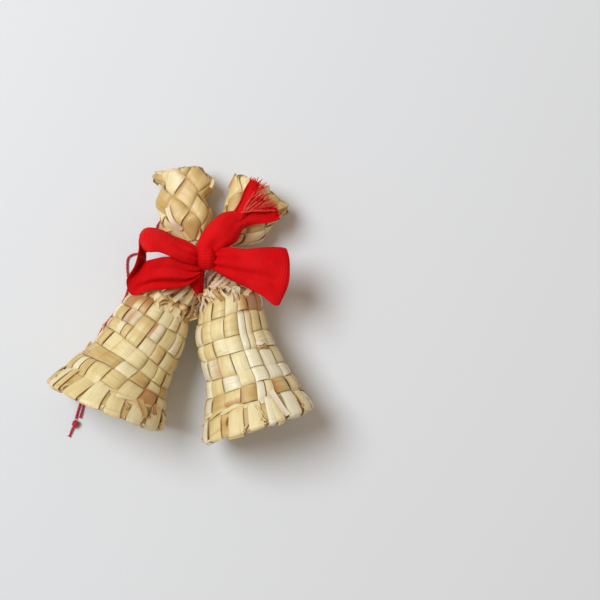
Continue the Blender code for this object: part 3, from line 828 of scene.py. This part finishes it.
def folded_ends(name, skin, side, drawn, seed, rough):
    """Straws drawn in to the neck, and a ring of loops and points, with more between the rough lanes."""
    rng = random.Random(seed)
    bm = new_shape()
    middle = middle_of(skin, 8)
    neck = middle_of(skin, 10).lerp(under_ribbon(side, -1), drawn)
    for index in range(DRAWN_COUNT):
        start = skin(WARPS * (index + rng.uniform(-0.3, 0.3)) / DRAWN_COUNT, 7.8, 0.1)
        out = (start - middle).normalized()
        end = neck + out * rng.uniform(2.4, 3.2) * MM
        route = [start]
        for share in (0.3, 0.65):
            away = Vector((rng.uniform(-0.8, 0.8), rng.uniform(-0.8, 0.8), rng.uniform(-0.8, 0.8)))
            route.append(start.lerp(end, share) + (away + out * rng.uniform(0.2, 1.6)) * MM)
        route.append(end)
        loose_straw(bm, route, out, rng.uniform(0.9, 1.6), 0.6, rng.random(), rng.choice((0.3, 0.5, 0.8)))
    places = []
    for index in range(END_COUNT):
        lane = WARPS * (index + rng.uniform(-0.3, 0.3)) / END_COUNT
        places.append((lane, rng.uniform(7.6, 8.1)))
    for _ in range(ROUGH_COUNT):
        places.append((rng.uniform(*rough), rng.uniform(7.2, 9.0)))
    for lane, start in places:
        height = rng.uniform(1.2, 2.9)
        back = rng.uniform(0.2, 0.8)
        lean = rng.uniform(-0.6, 0.6)
        route = (
            (lane, start, 0.1),
            (lane + 0.1 * lean, start + 0.15, 0.45 * height),
            (lane + 0.5 * lean, start + 0.3, height),
            (lane + 0.9 * lean, start + 0.3 + 0.5 * back, 0.9 * height),
            (lane + 1.2 * lean, start + 0.45 + 0.8 * back, 0.2 + 0.2 * height),
        )
        wear = rng.choice((0.2, 0.4, 0.6, 0.9))
        straw_on(bm, skin, route, rng.uniform(0.7, 1.6), rng.choice((0.15, 0.5, 0.9)), rng.random(), wear)
    piece(name, bm, straw_weave, thickness=END_THICKNESS)


folded_ends("left_shoulder_ends", left_skin, -1, 0.6, 5, (10.2, 14.8))
folded_ends("right_shoulder_ends", right_skin, 1, 0.3, 6, (9.0, 16.0))

# The handles
# Each handle is a knob plaited on the diagonal from six straws that wind up it to the right and six that
# wind to the left. At its far end the straws turn in, and a few folded ends stay outside.
PLAITS = 6
DIAMOND = 11.8  # height of one crossing
PLAIT_END = 5.5  # how far the straws go on past the handle's length, to turn in
PLAIT_SWELL = 0.24
PLAIT_LIFT = 1.25  # times the weave's own
PLAIT_BASE = -0.45
PLAIT_WIDTH = 1.0  # share of its lane that a straw fills
PLAIT_STEPS = 60
SQUARE = 2.6  # power that makes a handle's round outline squarer
# A handle's outline: share of its length, half width, and how far its sides are moved aside
LEFT_HANDLE_SHAPE = (
    (0.0, 3.1, 0.0), (0.12, 5.2, -1.4), (0.24, 7.6, -2.2), (0.4, 8.2, -1.9),
    (0.56, 8.0, -3.6), (0.72, 9.0, -0.5), (0.82, 7.9, -0.4), (0.915, 8.4, -2.7),
    (0.955, 7.0, -1.8), (0.97, 3.6, 0.0), (0.975, 0.3, 0.0),
)
RIGHT_HANDLE_SHAPE = (
    (0.0, 3.1, 0.0), (0.13, 5.4, 2.0), (0.35, 7.5, 3.1), (0.57, 8.4, 2.9),
    (0.785, 9.4, 2.9), (0.92, 10.0, 2.6), (0.975, 8.2, 2.6), (1.0, 4.0, 0.0),
    (1.01, 0.3, 0.0),
)
# Straws that have come loose on a handle: width, taper, tone and wear, then places as turn, rise and height
LEFT_LOOSE = (
    (1.3, 0.8, 1.0, 0.0, ((-1.75, 24.2, 0.2), (-1.3, 25.2, 1.2), (-0.75, 25.7, 1.3), (-0.3, 25.8, 0.7))),
    (1.1, 0.5, 0.1, 0.4, ((-1.9, 23.4, 0.6), (-1.6, 24.6, 1.5), (-1.2, 25.0, 1.3), (-0.9, 24.8, 0.6))),
    (1.2, 0.7, 0.97, 0.0, ((-0.78, 11.8, 0.7), (-0.7, 9.0, 1.3), (-0.58, 6.0, 1.3), (-0.48, 3.4, 0.7))),
    (2.2, 0.5, 0.2, 0.8, ((-1.6, 9.6, 0.4), (-1.5, 7.6, 1.0), (-1.3, 5.4, 1.2), (-1.2, 3.6, 0.9))),
    (0.9, 0.3, 0.5, 0.3, ((1.3, 20.0, 0.3), (1.5, 21.5, 1.2), (1.6, 23.0, 1.0), (1.5, 24.4, 0.3))),
)
RIGHT_LOOSE = (
    (1.6, 0.1, 0.3, 0.7, ((-1.5, 18.0, 0.2), (-1.5, 20.4, 0.9), (-1.55, 22.6, 1.2), (-1.6, 24.0, 0.8))),
    (1.9, 0.15, 0.8, 0.1, ((-1.0, 19.0, 0.3), (-1.1, 21.4, 0.9), (-1.2, 23.4, 0.9), (-1.25, 25.0, 0.4))),
    (2.4, 0.1, 0.6, 0.3, ((0.9, 19.5, 0.3), (1.15, 21.6, 0.9), (1.35, 23.2, 1.3), (1.5, 24.0, 1.9))),
    (1.7, 0.1, 0.1, 0.8, ((1.5, 18.5, 0.3), (1.6, 20.5, 1.0), (1.6, 22.0, 1.6), (1.6, 23.2, 1.9))),
    (1.5, 0.6, 0.9, 0.2, ((1.2, 4.0, 0.5), (1.4, 7.0, 1.2), (1.5, 10.0, 1.0), (1.4, 12.5, 0.4))),
    (1.4, 0.4, 0.7, 0.1, ((0.1, 22.0, 0.4), (0.3, 23.2, 1.2), (0.5, 24.0, 1.2), (0.7, 24.2, 0.5))),
)
# Pointed ends that stand out past a handle: width, tone and wear, then places from the crossing
LEFT_SPIKES = (
    (1.6, 0.6, 0.2, ((-13.5, 30.5, 12.5), (-16.4, 31.4, 12.6), (-18.6, 31.8, 11.6))),
    (1.5, 0.2, 0.6, ((-12.0, 12.5, 15.5), (-15.0, 11.4, 14.2), (-17.2, 11.6, 12.6))),
    (1.3, 0.7, 0.1, ((0.5, 26.5, 13.5), (1.8, 28.4, 12.6), (1.9, 30.0, 11.4))),
)
RIGHT_SPIKES = (
    (1.5, 0.2, 0.8, ((8.6, 25.8, 13.0), (9.3, 28.6, 13.6), (9.9, 31.2, 13.0))),
    (2.2, 0.8, 0.2, ((10.4, 24.8, 14.6), (11.2, 27.4, 14.2), (12.6, 29.8, 12.6))),
    (2.6, 0.4, 0.5, ((22.5, 19.6, 14.2), (25.6, 20.0, 13.2), (28.6, 20.4, 11.4))),
    (2.2, 0.1, 0.9, ((23.5, 17.6, 12.6), (26.0, 18.2, 11.8), (28.2, 19.6, 10.6))),
    (2.0, 0.7, 0.3, ((17.6, 21.6, 15.0), (20.0, 24.0, 14.0), (21.4, 26.4, 12.2))),
)
PLAIT_TONES = (
    (0.0, (0.66, 0.43, 0.14)),
    (0.25, (0.82, 0.58, 0.23)),
    (0.5, (0.90, 0.69, 0.33)),
    (0.75, (0.94, 0.77, 0.43)),
    (0.93, (0.96, 0.83, 0.53)),
    (1.0, (0.96, 0.73, 0.56)),
)


def handle_skin(stand, length, shape, start_turn, seed):
    """A handle's outline, a rounded square tube. It gives a place from the angle, rise and height."""

    def skin(angle, rise, height):
        share = rise / length
        index = 0
        while index < len(shape) - 2 and share > shape[index + 1][0]:
            index += 1
        low, high = shape[index], shape[index + 1]
        local = min(1.0, max(0.0, (share - low[0]) / (high[0] - low[0])))
        points = [Vector((half, shift)) for _, half, shift in shape]
        half, shift = point_on(points, index + local)
        depth = min(half, HANDLE_HALF_DEPTH)
        spot = Vector((cos(angle), sin(angle), rise / 9 + seed))
        angle += start_turn + 0.12 * noise.noise(spot)
        across, up = sin(angle), -cos(angle)
        square = (abs(across) ** SQUARE + abs(up) ** SQUARE) ** (1 / SQUARE)
        height += UNEVEN * noise.noise(spot + Vector((3.3, 0, 0)))
        rise = min(max(rise, -0.4), length * shape[-1][0])
        x = across * (half / square + height) + shift * across * across
        y = up * (depth / square + height)
        return pressed(stand @ (Vector((x, y, rise)) * MM))

    return skin


straw_plait = straw_finish("plaited straw", PLAIT_TONES, 5.0)


def plaited_handle(name, skin, length, offset, seed, loose, spikes):
    """The offset is how far the crossings sit below their even places."""
    rng = random.Random(seed)
    bm = new_shape()
    reach = 2 * (length + PLAIT_END) / DIAMOND

    def wind(way, lane):
        """One straw of the plait, which goes to the right or to the left as it winds up the handle."""
        tone = 0.8 * rng.random()
        burnt = rng.uniform(0, reach)

        def over(cell):
            return way if (cell + lane) % 2 else -way

        def place(across, run):
            own = lane + 0.5 + across * 0.5 * PLAIT_WIDTH
            other = lane + 0.5 - way * (run - 0.6)
            right, left = (own, other) if way > 0 else (other, own)
            angle = (right + left) * pi / PLAITS
            rise = (right - left) * DIAMOND / 2 - offset
            height = PLAIT_LIFT * lift(over, other) + PLAIT_SWELL * (1 - across * across) + PLAIT_BASE
            return skin(angle, rise, height)

        def worn(across, run):
            # A burnt patch, with painted shade beside each crossing
            return 0.4 * max(0.0, 1 - abs(run - burnt) / 0.6) + dip_shade(run)

        straw(bm, place, 0.0, reach + 0.6, PLAIT_STEPS, tone, ROUND_PACE, columns=6, worn=worn)

    for way in (1, -1):
        for lane in range(PLAITS):
            wind(way, lane)
    for wide, taper, tone, wear, route in loose:
        straw_on(bm, skin, route, wide, taper, tone, wear)
    for wide, tone, wear, route in spikes:
        loose_straw(bm, [at(*point) for point in route], Vector((0, 0, 1)), wide, 0.08, tone, wear)
    made = piece(f"{name}_plait", bm, straw_plait, thickness=STRAW_THICKNESS)
    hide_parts(name)


left_knob = handle_skin(left_grip, LEFT_HANDLE_LENGTH, LEFT_HANDLE_SHAPE, 0.0, 1.5)
right_knob = handle_skin(right_grip, RIGHT_HANDLE_LENGTH, RIGHT_HANDLE_SHAPE, 0.2, 6.5)
plaited_handle("left_handle", left_knob, LEFT_HANDLE_LENGTH, 2.2, 31, LEFT_LOOSE, LEFT_SPIKES)
plaited_handle("right_handle", right_knob, RIGHT_HANDLE_LENGTH, 0.0, 35, RIGHT_LOOSE, RIGHT_SPIKES)

# The ribbon bow
# One red grosgrain ribbon, tied round both necks and gathered into pleats at the knot. The longer tail ends
# in a cut V. The loops and tails are narrower here than the ribbon, so the cloth is too small for its length:
# its runs measure about 185, and the length below was fitted so that the sheet's area is accepted.
RIBBON_WIDTH = 19.5
RIBBON_THICKNESS = 0.35
PLEAT_REACH = 6.5  # how far pleats run out from the knot
PLEAT_DEEPEST = 1.3
RIPPLE = 0.5
RIB_PITCH = 0.6
SELVEDGE = (9.0, 9.6)  # where the firm edge begins and is full, from the ribbon's middle
RIBBON_RED = (0.77, 0.002, 0.005, 1.0)
RIBBON_BRIGHT = (0.90, 0.008, 0.010, 1.0)
RIBBON_DEEP = (0.50, 0.001, 0.003, 1.0)
RIBBON_LINT = (0.9, 0.03, 0.03, 1.0)
RIBBON_WORN = (0.96, 0.20, 0.13, 1.0)
RIBBON_SELVEDGE = (0.42, 0.003, 0.008, 1.0)
# The two edges of each length of ribbon, station by station, and how far it bulges between them
LEFT_LOOP = (
    ((-2.0, -1.0, 25.0), (-2.4, 4.4, 24.0), -1.0),
    ((-6.0, -0.5, 28.0), (-6.0, 6.6, 23.5), -1.8),
    ((-10.2, 0.9, 30.4), (-10.4, 8.3, 22.0), -2.4),
    ((-15.0, 3.0, 31.6), (-15.9, 10.9, 20.4), -2.6),
    ((-18.8, 3.0, 32.0), (-20.9, 11.6, 19.4), -2.2),
    ((-20.4, 3.5, 26.6), (-23.2, 9.2, 19.8), -0.8),
    ((-21.2, 2.6, 16.6), (-22.9, 3.8, 27.0), 0.1),
    ((-21.5, 0.6, 15.6), (-23.9, -1.6, 29.2), 0.2),
    ((-20.6, 0.2, 24.0), (-27.0, -6.8, 27.2), 0.6),
    ((-16.6, 1.0, 29.8), (-25.4, -11.6, 24.6), 0.2),
    ((-12.4, 1.6, 29.6), (-18.8, -9.9, 26.2), -1.2),
    ((-9.0, 1.0, 28.0), (-12.6, -9.4, 26.0), -1.8),
    ((-5.2, -0.4, 26.6), (-7.4, -8.8, 24.8), -1.6),
    ((-2.2, -1.6, 24.6), (-2.6, -5.0, 23.4), -0.6),
)
RIGHT_LOOP = (
    ((2.0, 4.0, 25.4), (1.8, -2.4, 24.8), -0.8),
    ((8.0, 4.8, 29.0), (7.2, -5.6, 27.2), -2.0),
    ((13.8, 4.2, 30.4), (13.6, -8.6, 28.6), -1.8),
    ((20.6, 4.8, 31.0), (19.6, -11.8, 30.0), -1.2),
    ((25.8, 4.8, 30.4), (23.4, -14.9, 30.4), -0.6),
    ((27.8, 4.2, 28.4), (25.4, -14.9, 28.6), -2.2),
    ((25.8, 4.0, 26.4), (23.4, -13.8, 27.4), 0.8),
    ((19.4, 3.9, 24.6), (18.2, -10.4, 26.6), 0.6),
    ((11.8, 3.6, 23.2), (11.8, -7.6, 25.0), 0.4),
    ((3.0, 3.2, 22.6), (3.0, -2.4, 22.6), 0.2),
)
UPPER_TAIL = (
    ((-2.6, 1.4, 25.0), (2.6, 1.6, 25.0), -0.6),
    ((-3.0, 5.0, 26.4), (6.2, 4.2, 26.2), -1.6),
    ((-0.4, 10.8, 26.0), (10.6, 7.0, 24.6), -2.6),
    ((5.0, 16.4, 23.4), (12.6, 11.2, 22.2), -2.2),
    ((10.2, 17.8, 21.6), (14.2, 12.0, 20.4), -1.2),
)
LEFT_FINGER = (
    ((8.6, 15.6, 22.3), (12.6, 14.0, 21.5), 0.6),
    ((11.6, 20.8, 20.6), (15.6, 19.4, 20.4), 0.8),
    ((13.4, 25.4, 19.4), (17.2, 24.0, 19.2), 0.8),
    ((15.4, 28.8, 18.6), (18.4, 27.6, 18.4), 0.5),
)
RIGHT_FINGER = (
    ((10.6, 16.9, 21.3), (12.9, 12.4, 20.9), 0.4),
    ((15.4, 17.6, 20.4), (17.0, 13.0, 19.4), 0.8),
    ((20.6, 18.8, 19.4), (21.6, 13.6, 18.6), 0.8),
    ((24.6, 18.6, 18.6), (25.6, 15.0, 18.2), 0.5),
)
LOWER_TAIL = (
    ((-1.6, 1.4, 22.0), (1.2, 1.4, 21.6), 0.0),
    ((-3.0, -2.6, 21.6), (-0.6, -2.8, 20.6), 0.6),
    ((-4.8, -5.6, 20.8), (-1.0, -6.0, 19.0), 1.0),
    ((-5.6, -8.4, 19.4), (-1.3, -9.0, 17.4), 1.2),
    ((-4.9, -11.4, 17.8), (-1.6, -12.0, 16.0), 0.8),
    ((-3.4, -14.0, 16.2), (-2.6, -14.3, 15.2), 0.2),
)
# The turn over the knot, as places on it in side view, and how far it bulges
KNOT_TURN = (
    (-0.4, 19.0, 0.0), (-1.2, 22.0, 0.1), (-1.4, 25.6, 0.3), (-0.6, 28.2, 0.5), (1.4, 29.4, 0.7),
    (3.4, 28.4, 0.5), (4.2, 25.8, 0.3), (4.0, 22.6, 0.1), (2.6, 20.0, 0.0),
)
KNOT_MIDDLE = 0.5
KNOT_HALF_WIDTH = 2.8
KNOT_SUNK = 1.2
KNOT_BULGE = -1.3
# Folds that run along the ribbon: share across, depth, width, and the stations where each begins and ends
LEFT_FOLDS = ((0.78, 2.4, 0.12, 8.8, 13.0), (0.3, 0.8, 0.14, 8.6, 12.6), (0.45, 0.5, 0.2, 1.0, 5.0))
RIGHT_FOLDS = ((0.62, 1.5, 0.1, 0.6, 4.8), (0.25, 0.5, 0.14, 0.4, 3.6))
TAIL_FOLDS = ((0.35, 0.9, 0.14, 2.2, 4.4), (0.7, 0.7, 0.12, 1.6, 4.4))


def cloth_run(bm, stations, steps, pleats, ends, columns=20, gather=1.0, folds=()):
    """A length of ribbon between two edge curves. It bulges in the middle and is pleated at its ends.

    Ends is whether it is gathered at the first and at the last station.
    """
    lay = bm.verts.layers.float_vector["lay"]
    upper = [at(*first) for first, _, _ in stations]
    lower = [at(*second) for _, second, _ in stations]
    bulges = [Vector((bulge, 0.0)) for _, _, bulge in stations]
    rows = []
    run = 0.0
    for step in range(steps + 1):
        place = step / steps * (len(stations) - 1)
        first, second = point_on(upper, place), point_on(lower, place)
        near, far = place - 0.02, place + 0.02
        along = point_on(upper, far) + point_on(lower, far) - point_on(upper, near) - point_on(lower, near)
        out = along.cross(second - first).normalized()
        if rows:
            run += ((first + second) / 2 - (rows[-1][0] + rows[-1][1]) / 2).length / MM
        rows.append((first, second, out, point_on(bulges, place).x, run))
    made = bmesh.ops.create_grid(bm, x_segments=columns, y_segments=steps, size=1.0)["verts"]
    for vert in made:
        share = (vert.co.x + 1) / 2
        first, second, out, bulge, length = rows[round((vert.co.y + 1) / 2 * steps)]
        wide = min((second - first).length / MM, RIBBON_WIDTH - 0.5)
        spare = sqrt(RIBBON_WIDTH / wide - 1)
        away = min(length if ends[0] else run, run - length if ends[1] else run)
        depth = gather * min(PLEAT_DEEPEST, wide / pi / pleats * spare) * exp(-away / PLEAT_REACH)
        fold = depth * sin(tau * pleats * share + 0.6)
        ripple = RIPPLE * noise.noise(Vector((share * 3, length / 7, pleats + len(stations))))
        height = 4 * share * (1 - share) * bulge + fold + ripple
        station = (vert.co.y + 1) / 2 * (len(stations) - 1)
        for middle, deep, broad, begin, end in folds:
            if begin < station < end:
                fade = sin(pi * (station - begin) / (end - begin)) ** 0.7
                height += deep * fade * exp(-(((share - middle) / broad) ** 2))
        vert.co = first.lerp(second, share) + out * height * MM
        vert[lay] = ((share - 0.5) * RIBBON_WIDTH, length, 0.5)


def knot_run(bm):
    """The ribbon's turn over the knot, gathered narrow, from the upper tail's side to the lower tail's."""
    stations = []
    for y, z, bulge in KNOT_TURN:
        left = (KNOT_MIDDLE - KNOT_HALF_WIDTH, y, z - KNOT_SUNK)
        right = (KNOT_MIDDLE + KNOT_HALF_WIDTH, y, z - KNOT_SUNK)
        stations.append((left, right, KNOT_BULGE - bulge))
    cloth_run(bm, stations, 40, 2, (False, False))


def ribbon_finish():
    """Matte red grosgrain: close ribs across the ribbon, a firm edge on each side and a faint bloom."""
    made, start = finish_of("red grosgrain ribbon")
    across, run, tone = start.attribute("lay", "Vector").axes()
    rib = run.work("SINE", run * (tau / RIB_PITCH))
    weft = start.noise(start.join(across * 0.9, run * 7.0, 0.0), 2.0, 3.0)
    spot = start.node("ShaderNodeTexCoord", {}, {}, "Object")
    fade = start.noise(spot, 90.0, 3.0)
    colour = start.mix(RIBBON_RED, RIBBON_BRIGHT, fade.rise(0.35, 0.65))
    colour = start.mix(colour, RIBBON_DEEP, (0.5 - rib * 0.5) * 0.5)
    colour = start.mix(colour, RIBBON_LINT, weft.rise(0.6, 0.85) * 0.35)
    colour = start.mix(colour, RIBBON_WORN, tone.rise(0.55, 1.0) * 0.7)
    edge = across.work("ABSOLUTE", across).rise(*SELVEDGE)
    colour = start.mix(colour, RIBBON_SELVEDGE, edge * 0.4)
    normal = start.bump(rib * 0.5 + weft * 0.8, 0.00016, 0.7)
    values = {"Base Color": colour, "Normal": normal, "Roughness": 0.8, "Specular IOR Level": 0.12}
    return shade(made, start, values)


ribbon_red = ribbon_finish()


def ribbon_bow():
    bm = new_shape()
    cloth_run(bm, LEFT_LOOP, 130, 3, (True, True), folds=LEFT_FOLDS)
    cloth_run(bm, RIGHT_LOOP, 110, 3, (True, True), folds=RIGHT_FOLDS)
    cloth_run(bm, UPPER_TAIL, 50, 2, (True, True), gather=0.5, folds=TAIL_FOLDS)
    cloth_run(bm, LEFT_FINGER, 30, 1, (True, False), columns=10)
    cloth_run(bm, RIGHT_FINGER, 30, 1, (True, False), columns=10)
    cloth_run(bm, LOWER_TAIL, 40, 2, (True, False))
    knot_run(bm)
    made = piece("ribbon_tied", bm, ribbon_red, thickness=RIBBON_THICKNESS)
    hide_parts("ribbon_bow")
    return made


bow = ribbon_bow()

# The frayed end
# In the V of the longer tail the ribbon's own threads have come loose. They lie in a small untidy fan,
# paler towards the middle, with shorter tufts at the tips of the two fingers.
FRAY_COUNT = 66
FRAY_RADIUS = 0.15
FRAY_STEP = 0.6
# How many threads, the places they start between, the ways they point in degrees, their lengths and how pale
FRAY_FANS = (
    (FRAY_COUNT, (12.0, 16.6, 22.2), (15.8, 17.6, 21.0), 58, 6, 5.0, 10.0, 1.0),
    (FRAY_COUNT // 3, (15.2, 26.2, 20.4), (17.8, 24.6, 20.2), 74, 30, 2.6, 4.6, 0.6),
    (FRAY_COUNT // 3, (15.6, 22.4, 21.0), (16.8, 19.2, 20.6), 34, 8, 3.5, 7.0, 1.0),
    (FRAY_COUNT // 6, (22.0, 18.4, 20.0), (23.6, 16.6, 19.4), 30, 8, 1.5, 3.0, 0.6),
)


def frayed_threads():
    rng = random.Random(77)
    bm = new_shape()
    for count, first, last, begin, end, short, long, pale in FRAY_FANS:
        for index in range(count):
            share = index / (count - 1)
            root = at(*first).lerp(at(*last), share)
            angle = radians(begin + (end - begin) * share + rng.uniform(-9, 9))
            length = rng.uniform(short, long)
            tip = root + Vector((cos(angle), sin(angle), rng.uniform(-0.25, 0.05))) * length * MM
            sway = Vector((rng.uniform(-0.5, 0.5), rng.uniform(-0.5, 0.5), rng.uniform(0, 0.6))) * MM
            route = spaced([root, root.lerp(tip, 0.5) + sway, tip], FRAY_STEP * MM)
            tube(bm, route, FRAY_RADIUS * MM, 4, lambda turned, run: 1.0, tone=rng.uniform(0.3, pale))
    return piece("ribbon_frayed_threads", bm, ribbon_red)


frayed = frayed_threads()

# The table and the light
# A plain pale table, a broad soft light high on the left and behind, and weak light from all round that is
# warmer than the first.
TABLE_SIZE = 3.0
TABLE_GREY = (0.78, 0.785, 0.79, 1.0)
TABLE_PALE = (0.80, 0.805, 0.81, 1.0)
KEY_PLACE = (-0.62, 0.42, 1.35)
KEY_SIZE = 0.8
KEY_POWER = 17.6
KEY_COLOUR = (0.92, 1.01, 1.10)
ROOM_LIGHT = 0.315
ROOM_COLOUR = (1.15, 0.98, 0.83, 1.0)


def table_finish():
    made, start = finish_of("pale table")
    spot = start.node("ShaderNodeTexCoord", {}, {}, "Object")
    cloud = start.noise(spot, 3.0, 2.0)
    colour = start.mix(TABLE_GREY, TABLE_PALE, cloud)
    return shade(made, start, {"Base Color": colour, "Roughness": 0.55})


bm = bmesh.new()
bmesh.ops.create_grid(bm, x_segments=2, y_segments=2, size=TABLE_SIZE / 2)
mesh = bpy.data.meshes.new("table")
bm.to_mesh(mesh)
bm.free()
mesh.materials.append(table_finish())
table = placed("table", mesh)

key = placed("key_light", bpy.data.lights.new("key_light", "AREA"))
key.data.shape = "DISK"
key.data.size = KEY_SIZE
key.data.energy = KEY_POWER
key.data.color = KEY_COLOUR
key.location = KEY_PLACE
key.rotation_euler = (-Vector(KEY_PLACE)).to_track_quat("-Z", "Y").to_euler()

world = bpy.data.worlds.new("room")
world.use_nodes = True
world.node_tree.nodes["Background"].inputs["Color"].default_value = ROOM_COLOUR
world.node_tree.nodes["Background"].inputs["Strength"].default_value = ROOM_LIGHT
bpy.context.scene.world = world
